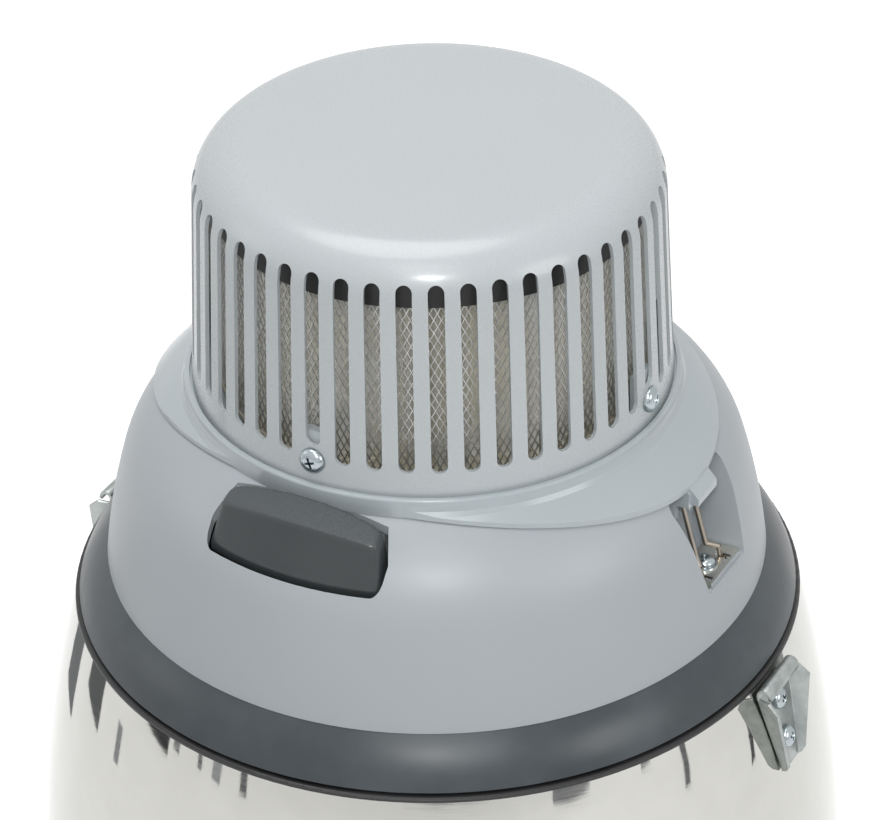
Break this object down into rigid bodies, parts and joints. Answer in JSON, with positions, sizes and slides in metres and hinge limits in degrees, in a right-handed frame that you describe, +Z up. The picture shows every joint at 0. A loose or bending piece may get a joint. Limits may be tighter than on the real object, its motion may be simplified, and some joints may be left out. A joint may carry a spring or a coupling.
{
  "type": "shop vacuum",
  "caption": "Dry canister vacuum: polished barrel container on castors, grey motor head with foot pedal, oval collar and slotted exhaust cage round a pleated filter cartridge.",
  "frame": {"origin": "centre of the wheels' footprint on the floor, on the vacuum's vertical axis", "axes": "+Z up, -Y towards the foot pedal and the suction inlet, X through the clips and catches"},
  "size_m": [0.34, 0.34, 0.4936],
  "materials": {
    "polished_aluminium": "mirror polished",
    "cage_paint": "satin powder coat",
    "collar_plastic": "gloss",
    "housing_plastic": "fine grain",
    "dark_plastic": "fine grain",
    "black_plastic": "matte",
    "cream_plastic": "matte",
    "band_rubber": "matte",
    "black_rubber": "matte",
    "bumper_rubber": "matte",
    "zinc": "bright zinc plate",
    "nickel": "bright nickel plate",
    "steel": "bright",
    "expanded_metal": "matte",
    "filter_paper": "matte",
    "filter_cloth": "matte",
    "foam": "matte",
    "copper_winding": "varnished",
    "wheel_rubber": "matte",
    "spring_wire": "bright drawn wire"
  },
  "bodies": {
    "container": {"container": "polished_aluminium", "inlet_fitting": "dark_plastic", "inlet_gasket": "black_rubber", "inlet_rivets": "zinc", "inlet_hood": "black_plastic", "catch_bracket_right": "zinc", "catch_bracket_left": "zinc", "catch_screws": "zinc", "castor_base": "dark_plastic", "base_rivets": "zinc", "bumper_ring": "bumper_rubber"},
    "castor_1": {"castor_1_fork": "zinc", "castor_1_axle": "steel"},
    "wheel_1": {"castor_1_wheel": "wheel_rubber"},
    "castor_2": {"castor_2_fork": "zinc", "castor_2_axle": "steel"},
    "wheel_2": {"castor_2_wheel": "wheel_rubber"},
    "castor_3": {"castor_3_fork": "zinc", "castor_3_axle": "steel"},
    "wheel_3": {"castor_3_wheel": "wheel_rubber"},
    "castor_4": {"castor_4_fork": "zinc", "castor_4_axle": "steel"},
    "wheel_4": {"castor_4_wheel": "wheel_rubber"},
    "main_filter": {"filter_ring": "black_rubber", "filter_bag": "filter_cloth", "filter_basket": "dark_plastic"},
    "head": {"head_ring": "band_rubber", "motor_pan": "dark_plastic", "pan_screws": "zinc", "motor_filter": "foam", "motor_gasket": "foam", "fan_casing": "steel", "motor_casing": "steel", "motor_mount": "black_rubber", "motor_housing": "housing_plastic", "cable_gland": "black_rubber", "pedal_pin": "steel", "switch_body": "black_plastic", "clip_plate_right": "nickel", "clip_plate_left": "nickel", "clip_screws": "zinc", "collar": "collar_plastic", "exhaust_cage": "cage_paint", "cage_screws": "zinc", "cartridge_seal": "foam", "cartridge_base_cap": "cream_plastic", "filter_medium": "filter_paper", "filter_mesh": "expanded_metal", "cartridge_top_cap": "black_plastic", "tie_rod": "zinc", "rod_nut": "zinc", "pedal_spring": "steel"},
    "rotor": {"rotor_shaft": "steel", "armature": "copper_winding", "fan_wheel_lower": "polished_aluminium", "fan_wheel_upper": "polished_aluminium"},
    "pedal": {"foot_pedal": "dark_plastic"},
    "plunger": {"switch_plunger": "black_plastic"},
    "bail_right": {"bail_right": "spring_wire"},
    "bail_left": {"bail_left": "spring_wire"}
  },
  "joints": [
    {"name": "castor_1_swivel", "type": "hinge", "parent": "container", "child": "castor_1", "pos_m": [0.08344, 0.08344, 0.045], "axis": [0, 0, 1], "continuous": true},
    {"name": "wheel_1_spin", "type": "hinge", "parent": "castor_1", "child": "wheel_1", "pos_m": [0.07354, 0.07354, 0.018], "axis": [-0.7071, 0.7071, 0], "continuous": true},
    {"name": "castor_2_swivel", "type": "hinge", "parent": "container", "child": "castor_2", "pos_m": [-0.08344, 0.08344, 0.045], "axis": [0, 0, 1], "continuous": true},
    {"name": "wheel_2_spin", "type": "hinge", "parent": "castor_2", "child": "wheel_2", "pos_m": [-0.07354, 0.07354, 0.018], "axis": [-0.7071, -0.7071, 0], "continuous": true},
    {"name": "castor_3_swivel", "type": "hinge", "parent": "container", "child": "castor_3", "pos_m": [-0.08344, -0.08344, 0.045], "axis": [0, 0, 1], "continuous": true},
    {"name": "wheel_3_spin", "type": "hinge", "parent": "castor_3", "child": "wheel_3", "pos_m": [-0.07354, -0.07354, 0.018], "axis": [0.7071, -0.7071, 0], "continuous": true},
    {"name": "castor_4_swivel", "type": "hinge", "parent": "container", "child": "castor_4", "pos_m": [0.08344, -0.08344, 0.045], "axis": [0, 0, 1], "continuous": true},
    {"name": "wheel_4_spin", "type": "hinge", "parent": "castor_4", "child": "wheel_4", "pos_m": [0.07354, -0.07354, 0.018], "axis": [0.7071, 0.7071, 0], "continuous": true},
    {"name": "filter_lift", "type": "slide", "parent": "container", "child": "main_filter", "axis": [0, 0, 1], "range_m": [0, 0.2]},
    {"name": "head_lift", "type": "slide", "parent": "main_filter", "child": "head", "axis": [0, 0, 1], "range_m": [0, 0.12]},
    {"name": "rotor_spin", "type": "hinge", "parent": "head", "child": "rotor", "pos_m": [0, 0, 0.345], "axis": [0, 0, 1], "continuous": true},
    {"name": "pedal_rock", "type": "hinge", "parent": "head", "child": "pedal", "pos_m": [0, -0.084, 0.3756], "axis": [1, 0, 0], "range_deg": [0, 6], "stiffness_Nm_per_rad": 3, "springref_deg": -2.86},
    {"name": "plunger_travel", "type": "slide", "parent": "head", "child": "plunger", "axis": [0, 0, -1], "range_m": [0, 0.0019], "deforming": ["pedal_spring"]},
    {"name": "bail_right_swing", "type": "hinge", "parent": "head", "child": "bail_right", "pos_m": [0.1163, 0, 0.339], "axis": [0, 1, 0], "range_deg": [0, 48]},
    {"name": "bail_left_swing", "type": "hinge", "parent": "head", "child": "bail_left", "pos_m": [-0.1163, 0, 0.339], "axis": [0, -1, 0], "range_deg": [0, 48]}
  ],
  "couplings": [
    {"joint": "plunger_travel", "follows": "pedal_rock", "m_per_rad": 0.0175}
  ]
}
